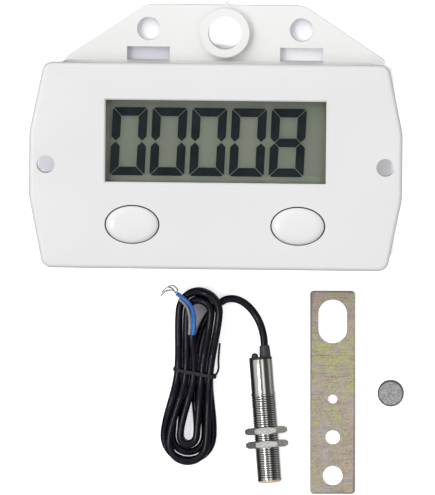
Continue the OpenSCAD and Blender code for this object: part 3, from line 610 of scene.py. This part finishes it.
def barrel_nickel():
    """Bright nickel with turning marks, dull and with a painted shade in the thread's grooves."""
    look = metallic("barrel_nickel", (0.80, 0.79, 0.765), 0.11, 0.12, 0.002, 0.06, (0.15, 6, 0.15))
    deep = look.node("ShaderNodeAttribute", {"attribute_name": "groove"}).outputs["Fac"]
    groove = look.span(deep, 0.55, 1.0)
    # Painted shade: the deepest part of the thread's grooves is blended nearly to black.
    look.set("Base Color", look.blend(groove, look.now("Base Color"), grey(0.1)))
    look.set("Roughness", look.calc("MAXIMUM", look.now("Roughness"), look.calc("MULTIPLY", groove, 0.5)))
    return look


def nut_nickel():
    """Barrel plated nuts, grainy from tumbling."""
    look = Look("nut_nickel", metal=0.85)
    grain = look.noise(0.3, 4, 0.7)
    clouds = look.noise(2.2, 3)
    face = look.tones(grain, (0.42, 0.42, 0.41), (0.9, 0.9, 0.89), 0.35, 0.65)
    look.set("Base Color", look.blend(look.span(clouds, 0.4, 0.7, 0.0, 0.4), face, (0.5, 0.5, 0.49)))
    look.set("Roughness", look.span(clouds, 0.3, 0.7, 0.28, 0.42))
    look.bump(grain, 0.035)
    return look


def cable_black():
    """Soft black sleeve of the cable, with a slight bloom and a very fine grain."""
    look = Look("cable_black", Specular_IOR_Level=0.27)
    clouds = look.noise(4, 4, 0.6)
    look.set("Base Color", look.tones(clouds, (0.002, 0.002, 0.005), (0.006, 0.006, 0.012), 0.3, 0.75))
    look.set("Roughness", look.span(clouds, 0.25, 0.75, 0.2, 0.3))
    look.bump(look.noise(0.9, 3, 0.6), 0.003)
    return look


def lamp_dark():
    """Smoky lens of the small lamp."""
    look = Look("lamp_dark", 0.12, Coat_Weight=0.6, Coat_Roughness=0.06)
    look.set("Base Color", look.tones(look.noise(0.6, 2), (0.012, 0.011, 0.01), (0.04, 0.034, 0.028)))
    look.bump(look.noise(0.8), 0.01)
    return look


def capsule_glass():
    """Faintly green glass of the reed capsule."""
    look = Look("capsule_glass", 0.08, Transmission_Weight=0.85)
    look.set("Base Color", look.blend(look.noise(1.5), (0.7, 0.85, 0.76), (0.82, 0.92, 0.86)))
    look.bump(look.noise(0.7), 0.01)
    return look


# Node: material, colour, roughness, size and depth of the grain, how much darker its clouds are, their size.
MOULDED = {
    "front_shell": ("front_white", (0.613, 0.613, 0.619), 0.36, 0.32, 0.004, 0.012, 28),
    "rear_shell": ("rear_white", (0.69, 0.69, 0.683), 0.34, 0.3, 0.004, 0.012, 28),
    "battery_door": ("door_white", (0.74, 0.74, 0.735), 0.38, 0.3, 0.005, 0.015, 28),
    "lcd_holder": ("holder_plastic", (0.66, 0.66, 0.63), 0.5, 0.4, 0.006, 0.02, 28),
    "chip_blob": ("epoxy_black", grey(0.012), 0.25, 1.4, 0.03, 0.3, 4),
    "tact_switches": ("switch_black", (0.02, 0.02, 0.022), 0.45, 0.3, 0.01, 0.2, 28),
    "terminal_block": ("terminal_green", (0.025, 0.16, 0.06), 0.4, 0.3, 0.01, 0.15, 28),
    "sensor_cap": ("cap_black", (0.016, 0.016, 0.018), 0.4, 0.25, 0.01, 0.2, 4),
    "strain_relief": ("sleeve_black", (0.035, 0.035, 0.038), 0.45, 0.35, 0.015, 0.2, 3),
    "sensing_face": ("face_amber", (0.68, 0.5, 0.3), 0.4, 0.3, 0.01, 0.08, 5),
    "wire_blue": ("core_blue", (0.02, 0.13, 0.45), 0.25, 0.4, 0.003, 0.12, 3),
    "wire_grey": ("core_grey", (0.25, 0.245, 0.245), 0.4, 0.4, 0.008, 0.1, 3),
    "cable_tie": ("tie_black", (0.014, 0.014, 0.016), 0.48, 0.3, 0.012, 0.25, 3),
}
# Node: material, colour, roughness, size and depth of the tooling marks, how much darker its stains are.
METALLIC = {
    "battery_spring": ("contact_nickel", (0.62, 0.6, 0.56), 0.28, 0.2, 0.004, 0.08),
    "terminal_screws": ("screw_steel", (0.55, 0.55, 0.56), 0.3, 0.2, 0.004, 0.08),
    "wire_strands": ("strand_tin", (0.42, 0.4, 0.38), 0.3, 0.15, 0.003, 0.15),
}
LOOKS = {
    **{node: moulded(*values) for node, values in MOULDED.items()},
    **{node: metallic(*values) for node, values in METALLIC.items()},
    "pause_button": button_white(),
    "lcd_front_glass": display_glass(),
    "lcd_segments": segment_ink(),
    "lcd_reflector": display_back(),
    "zebra_strip": strip_rubber(),
    "circuit_board": board_green(),
    "board_parts": part_blue(),
    "battery": cell_wrap(),
    "sensor_barrel": barrel_nickel(),
    "nut_rear": nut_nickel(),
    "sensor_led": lamp_dark(),
    "reed_capsule": capsule_glass(),
    "cable_run": cable_black(),
    "mounting_bracket": strip_zinc(),
    "magnet": magnet_nickel(),
}
SAME = {
    "reset_button": "pause_button",
    "lcd_rear_glass": "lcd_front_glass",
    "sensor_board": "circuit_board",
    "pause_plunger": "tact_switches",
    "reset_plunger": "tact_switches",
    "battery_contact": "battery_spring",
    "case_screws": "terminal_screws",
    "board_screws": "terminal_screws",
    "nut_front": "nut_rear",
    "cable_hank": "cable_run",
    "cable_tail": "cable_run",
}
# Angles between faces: below the first a CAD node is shaded smooth, above the second a new piece has an edge.
SMOOTH_BELOW, CREASE_ABOVE = 32, 35


def shade_by_angle():
    """A node group that joins a CAD node's faces and shades them smooth across shallow edges."""
    group = bpy.data.node_groups.new("shade_by_angle", "GeometryNodeTree")
    for way in ("INPUT", "OUTPUT"):
        group.interface.new_socket("Geometry", in_out=way, socket_type="NodeSocketGeometry")
    make = group.nodes.new
    enter, leave = make("NodeGroupInput"), make("NodeGroupOutput")
    join, bare = make("GeometryNodeMergeByDistance"), make("GeometryNodeRemoveAttribute")
    join.inputs["Distance"].default_value = 1e-7
    bare.inputs["Name"].default_value = "custom_normal"
    faces, edges = make("GeometryNodeSetShadeSmooth"), make("GeometryNodeSetShadeSmooth")
    faces.domain, edges.domain = "FACE", "EDGE"
    angle, shallow = make("GeometryNodeInputMeshEdgeAngle"), make("FunctionNodeCompare")
    shallow.data_type, shallow.operation = "FLOAT", "LESS_THAN"
    shallow.inputs[1].default_value = math.radians(SMOOTH_BELOW)
    link = group.links.new
    link(angle.outputs["Unsigned Angle"], shallow.inputs[0])
    link(shallow.outputs[0], edges.inputs["Shade Smooth"])

    def geometry(sockets):
        return sockets["Geometry" if "Geometry" in sockets else 0]

    chain = [enter, join, bare, faces, edges, leave]
    for a, b in zip(chain, chain[1:]):
        link(geometry(a.outputs), geometry(b.inputs))
    return group


SHADING = shade_by_angle()
for name, node in NODES.items():
    for holder in node.material_slots:
        holder.material = LOOKS[SAME.get(name, name)].mat
    node.modifiers.new("shading", "NODES").node_group = SHADING
# The digits' shadow on the reflector would make them look wider than the photograph's.
NODES["lcd_segments"].visible_shadow = False


# ---------------------------------------------------------------- pieces


def object_of(name, data):
    """A new object in the scene."""
    made = bpy.data.objects.new(name, data)
    bpy.context.scene.collection.objects.link(made)
    return made


def sensor_piece(name, points, faces, slot, replaced):
    """A mesh piece in millimetres that goes with the sensor, in the place and with the look of a CAD node."""
    mesh = bpy.data.meshes.new(name)
    mesh.from_pydata([mm(*p) for p in points], [], faces)
    work = bmesh.new()
    work.from_mesh(mesh)
    bmesh.ops.recalc_face_normals(work, faces=work.faces)
    for f in work.faces:
        f.smooth = True
    for e in work.edges:
        e.smooth = not (e.is_manifold and e.calc_face_angle(0) > math.radians(CREASE_ABOVE))
    work.to_mesh(mesh)
    work.free()
    mesh.materials.append(LOOKS[replaced].mat)
    made = object_of(name, mesh)
    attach(made, "sensor")
    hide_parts(replaced)
    return made


def upwards(way):
    """An outline's first axis: straight up, or sideways where its line goes up itself."""
    return Vector((0, 0, 1)) if abs(way.z) < 0.9 else Vector((1, 0, 0))


def banded(rings, n, closed=False):
    """The faces between rings of n points, and from the last ring to the first one if closed."""
    faces = []
    for i in range(rings if closed else rings - 1):
        a, b = i * n, (i + 1) % rings * n
        faces += [(a + j, a + (j + 1) % n, b + (j + 1) % n, b + j) for j in range(n)]
    return faces


def swept(line, outline, side=upwards):
    """Points and faces of an outline swept along a line. side(way) is the outline's first axis."""
    line = [Vector(p) for p in line]
    points, n = [], len(outline)
    for i, p in enumerate(line):
        way = (line[min(i + 1, len(line) - 1)] - line[max(i - 1, 0)]).normalized()
        a = side(way)
        a = (a - way * a.dot(way)).normalized()
        b = way.cross(a)
        points += [p + a * x + b * y for x, y in outline]
    last = (len(line) - 1) * n
    ends = [tuple(range(n - 1, -1, -1)), tuple(range(last, last + n))]
    return points, [*banded(len(line), n), *ends]


def round_outline(d, n):
    turns = [2 * math.pi * i / n for i in range(n)]
    return [(d / 2 * math.cos(q), d / 2 * math.sin(q)) for q in turns]


def merged(*sweeps):
    """Several sweeps as the points and faces of one mesh."""
    points, faces = [], []
    for p, f in sweeps:
        faces += [tuple(len(points) + i for i in face) for face in f]
        points += p
    return points, faces


def make_cable():
    """The whole cable as one curve. Also gives its exit and its length, in metres."""
    route = cable_route()
    data = bpy.data.curves.new("cable", "CURVE")
    data.dimensions = "3D"
    data.bevel_depth = CORD_D / 2 * MM
    data.bevel_resolution = 5
    data.use_fill_caps = True
    spline = data.splines.new("POLY")
    spline.points.add(len(route) - 1)
    for point, place in zip(spline.points, route):
        point.co = (*mm(*place), 1)
    spline.use_smooth = True
    data.materials.append(LOOKS["cable_run"].mat)
    made = object_of("cable", data)
    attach(made, "sensor")
    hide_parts("cable_run", "cable_hank", "cable_tail")
    return made, mm(*route[0]), float(np.linalg.norm(np.diff(route, axis=0), axis=1).sum()) * MM


def make_core(name, points, d, replaced, slot):
    """A core in its insulation."""
    return sensor_piece(name, *swept(on_hank(points, 0.35), round_outline(d, 20)), slot, replaced)


def make_strands():
    """Fine tinned wires that fan out of the blue core and bend back to one point."""
    chance = random.Random(7)
    wire_d, wires_each, spread = 0.2, 3, (0.25, 0.25, 0.12)
    sweeps = []
    for points in STRAND_POINTS:
        for _ in range(wires_each):
            shift = [Vector([chance.uniform(-s, s) for s in spread]) for _ in points]
            shift[0] *= 0.5
            line = on_hank([Vector(p) + s for p, s in zip(points, shift)], 0.3)
            sweeps.append(swept(line, round_outline(wire_d, 8)))
    return sensor_piece("core_strands", *merged(*sweeps), "strand_tin", "wire_strands")


def tie_band():
    """The loop of the tie round the hank's waist, as points in u, v and z."""
    half_u, low, high, r = 6.85, 0.72, 6.62, 1.6
    right, left, bottom, top = half_u - r, r - half_u, low + r, high - r
    lean = math.tan(math.radians(TIE_TURN))
    loop = []
    for u, z, start in ((right, bottom, -90), (right, top, 0), (left, top, 90), (left, bottom, 180)):
        for turn in (0, 22.5, 45, 67.5, 90):
            q = math.radians(start + turn)
            loop.append((u + r * math.cos(q), z + r * math.sin(q)))
    return [(u + TIE_AT[0], TIE_AT[1] - lean * u, z) for u, z in [*loop, loop[0]]]


def make_tie():
    """A flat tie wire round the waist, twisted at the right, with one long end and a short one."""
    flat = [(0.55, 0.12), (0.46, 0.22), (0.22, 0.26), (0, 0.34), (-0.22, 0.26), (-0.46, 0.22), (-0.55, 0.12)]
    flat += [(x, -y) for x, y in reversed(flat)]
    narrow = [(y, x * 0.62) for x, y in flat]
    bare = round_outline(0.5, 10)
    knot_from, knot_to, knot_turn = Vector((5.9, -0.75, 6.9)), Vector((7.15, 0.1, 4.7)), 7.5
    knot_r = (0.16, 0.24, 0.26)
    long_end = [
        (6.9, -0.05, 5.1),
        (7.3, 0.35, 4.4),
        (7.7, 1.2, 3.6),
        (7.85, 2.5, 3),
        (7.6, 4.4, 2.5),
        (7.5, 7.6, 1.9),
        (7.5, 10.2, 1.4),
    ]
    short_end = [(6.2, 0.5, 6.2), (6.9, 0.35, 5.6), (7.25, 0.1, 4.9)]
    v_way = (on_ground((0, 1, 0)) - on_ground((0, 0, 0))).normalized()
    sweeps = [swept([on_ground(p) for p in evened(tie_band(), 0.5)], flat, lambda way: v_way)]
    for phase in (0, math.pi):
        turn = []
        for q in np.linspace(0, knot_turn, 22):
            c, s = math.cos(phase + q), math.sin(phase + q)
            off = Vector((knot_r[0] * c, knot_r[1] * c, knot_r[2] * s))
            turn.append(knot_from.lerp(knot_to, q / knot_turn) + off)
        sweeps.append(swept([on_ground(p) for p in turn], bare))
    sweeps.append(swept(on_hank(long_end, 0.4), narrow, lambda way: way.cross(Vector((0, 0, 1)))))
    sweeps.append(swept(on_hank(short_end, 0.3), bare))
    return sensor_piece("cable_tie_wire", *merged(*sweeps), "tie_black", "cable_tie")


def make_barrel():
    """The sensor's metal barrel with a real helical thread, a plain neck and an open bore."""
    neck_r, thread_r, bore_r = 3.75, 4.0, 3.1
    rear, thread_from, thread_to = 0.7, 11.6, 40.2
    pitch, depth, sides, per_turn = 0.75, 0.42, 56, 10
    groove_width, flank = 0.62, 0.55
    fade_in, fade_out = 0.9, 0.7

    def groove_at(s, angle):
        """How deep the groove is at a point, from 0 to 1. s is the way along the barrel."""
        phase = (s / pitch + angle / (2 * math.pi)) % 1
        notch = smooth((groove_width - abs(phase - 0.5) * 2) / flank)
        return notch * smooth((s - thread_from) / fade_in) * smooth((thread_to - s) / fade_out)

    # Each ring is a radius and its place along the barrel. The thread's rings have no radius of their own.
    rings = [(bore_r, rear), (neck_r - 0.2, rear), (neck_r - 0.05, 0.75), (neck_r, 0.9), (neck_r, 2.4)]
    rings += [(neck_r, thread_from - 0.3), (neck_r - 0.02, thread_from - 0.02)]
    steps = round((thread_to - thread_from) / pitch * per_turn)
    rings += [(None, thread_from + (thread_to - thread_from) * i / steps) for i in range(steps + 1)]
    rings += [(thread_r - 0.4, thread_to), (bore_r, thread_to)]
    points, grooves = [], []
    for r, s in rings:
        for j in range(sides):
            q = 2 * math.pi * j / sides
            grooves.append(groove_at(s, q) if r is None else 0)
            out = thread_r - depth * grooves[-1] if r is None else r
            points.append(SENSOR_PLACE @ Vector((out * math.cos(q), -s, out * math.sin(q))))
    faces = banded(len(rings), sides, closed=True)
    made = sensor_piece("threaded_barrel", points, faces, "barrel_nickel", "sensor_barrel")
    # Depth into the thread's grooves at each point, which the barrel's material uses for its painted shade.
    made.data.attributes.new("groove", "FLOAT", "POINT").data.foreach_set("value", grooves)


cable, cable_exit, cable_length = make_cable()
blue = make_core("core_blue_insulation", BLUE_POINTS, BLUE_D, "wire_blue", "core_blue")
grey_core = make_core("core_grey_insulation", GREY_POINTS, GREY_D, "wire_grey", "core_grey")
strands = make_strands()
tie = make_tie()
make_barrel()

# ---------------------------------------------------------------- floor and light

# Soft-edged rectangles of the floor in millimetres: low, high and soft edge, in x and in y.
# Painted shade: in these the floor has a colour of its own and gives off no light.
IN_SHADE = [
    ((-56, 56, 2.5), (-29, 30, 2.5)),  # the case
    ((-30, 34.5, 2.5), (29, 37.2, 1.5)),  # the ear's slots
    ((-58, -50, 1.5), (-3.3, 3.7, 1.5)),  # the left side hole
]
UNLIT = [
    ((-26.6, -18.6, 1), (39, 47, 1)),  # the ear's left hole
    ((23, 31, 1), (39, 47, 1)),  # the ear's right hole
]
UNLIT_IN_HANK = ((-4.6, 4.6, 1), (-8, 23, 1))  # in the hank's own u and v
FLOOR_GLOW, FLOOR_HALF, FLOOR_Z = 0.55, 3.0, -0.00005


def make_floor():
    """A plain pale sheet with a painted glow that gives off a little light, but not under the case, the holes
    and the hank; under the case, its slots and the left side hole it has a painted shade.
    """
    mesh = bpy.data.meshes.new("floor")
    corners = [(-1, -1), (1, -1), (1, 1), (-1, 1)]
    mesh.from_pydata([(x * FLOOR_HALF, y * FLOOR_HALF, FLOOR_Z) for x, y in corners], [], [(0, 1, 2, 3)])
    look = Look("floor_paper", 0.7)

    def patch(places, spans):
        """1 inside a rectangle and 0 outside it."""
        sides = []
        for place, (low, high, soft) in zip(places, spans):
            up = look.span(place, *mm(low - soft, low))
            sides.append(look.calc("MULTIPLY", up, look.span(place, *mm(high, high + soft), 1.0, 0.0)))
        return look.calc("MULTIPLY", *sides)

    x, y, _ = look.parts()
    # Painted shade: under the case, its slots and the left side hole the floor has its own colour, much
    # darker to the left, and does not glow.
    shade = patch((x, y), IN_SHADE[0])
    for spans in IN_SHADE[1:]:
        shade = look.calc("MAXIMUM", shade, patch((x, y), spans))
    painted_shade_colour = look.blend(look.span(x, *mm(-15, 15)), (0.69, 0.69, 0.76), (0.93, 0.93, 0.97))
    paper = look.blend(look.noise(60, 2), (0.89, 0.89, 0.945), (0.91, 0.91, 0.955))
    look.set("Base Color", look.blend(shade, paper, painted_shade_colour))

    hank_at, hank_turn = (*mm(*HANK_AT), 0), (0, 0, -math.radians(HANK_LEAN))
    in_hank = look.node(
        "ShaderNodeMapping", {"vector_type": "TEXTURE"}, Vector=look.at, Location=hank_at, Rotation=hank_turn
    )
    u, v = look.node("ShaderNodeSeparateXYZ", Vector=in_hank.outputs["Vector"]).outputs[:2]
    # Painted light: the floor glows, except in the painted shade, in the ear's holes and under the hank.
    painted_glow = look.calc("SUBTRACT", 1.0, shade)
    for places, spans in [*(((x, y), spans) for spans in UNLIT), ((u, v), UNLIT_IN_HANK)]:
        painted_glow = look.calc("SUBTRACT", painted_glow, patch(places, spans))
    look.set("Emission Color", look.rgba((1, 1, 1)))
    look.set("Emission Strength", look.calc("MULTIPLY", painted_glow, FLOOR_GLOW))
    mesh.materials.append(look.mat)
    floor = object_of("floor", mesh)
    floor.visible_glossy = False
    floor.visible_diffuse = False


# The studio's brightness around the y axis, by the angle from straight up. It runs along the sensor's barrel.
AROUND_BARREL = [
    (-180, 0.1),
    (-108, 0.02),
    (-92, 0.03),
    (-80, 0.35),
    (-66, 0.6),
    (-48, 0.58),
    (-38, 0.78),
    (-28, 1.3),
    (-20, 0.75),
    (-13, 0.25),
    (-6, 0.15),
    (4, 0.5),
    (13, 1.35),
    (22, 0.6),
    (28, 0.18),
    (36, 0.06),
    (64, 0.07),
    (76, 0.16),
    (89, 0.55),
    (106, 0.15),
    (132, 0.25),
    (180, 0.6),
]
# Name, turn about x, y and z, width in the sky in degrees, strength, and whether gloss mirrors it.
LAMPS = [
    ("key", (-30, -38, 0), 50, 1.5, False),
    ("fill", (10, 55, 0), 90, 1.3, False),
    ("back", (-52, 0, 0), 80, 0.55, False),
    ("strip", (3.5, -28, 0), 12, 0.6, True),
]


def make_light():
    """Soft studio light: bright strips of sky for the gloss, three very wide lamps and a narrow one."""
    scene = bpy.context.scene
    world = bpy.data.worlds.new("studio")
    scene.world = world
    world.use_nodes = True
    tree = world.node_tree
    way = tree.nodes.new("ShaderNodeSeparateXYZ")
    feed(tree, way.inputs["Vector"], tree.nodes.new("ShaderNodeTexCoord").outputs["Generated"])
    angle = math_node(tree, "ARCTAN2", way.outputs["X"], way.outputs["Z"])
    turns = math_node(tree, "DIVIDE", angle, 2 * math.pi)
    ramp = tree.nodes.new("ShaderNodeValToRGB")
    stops = ramp.color_ramp.elements
    for i, (degrees, shine) in enumerate(AROUND_BARREL):
        place = degrees / 360 + 0.5
        stop = stops[i] if i < len(stops) else stops.new(place)
        stop.position = place
        stop.color = (*grey(shine), 1)
    feed(tree, ramp.inputs["Fac"], math_node(tree, "ADD", turns, 0.5))
    feed(tree, tree.nodes["Background"].inputs["Color"], ramp.outputs["Color"])

    for name, turn, width, strength, mirrored in LAMPS:
        lamp = bpy.data.lights.new(name, "SUN")
        lamp.angle = math.radians(width)
        lamp.energy = strength
        made = object_of(name, lamp)
        made.rotation_euler = [math.radians(a) for a in turn]
        made.visible_glossy = mirrored
    scene.view_settings.view_transform = "Standard"


make_floor()
make_light()
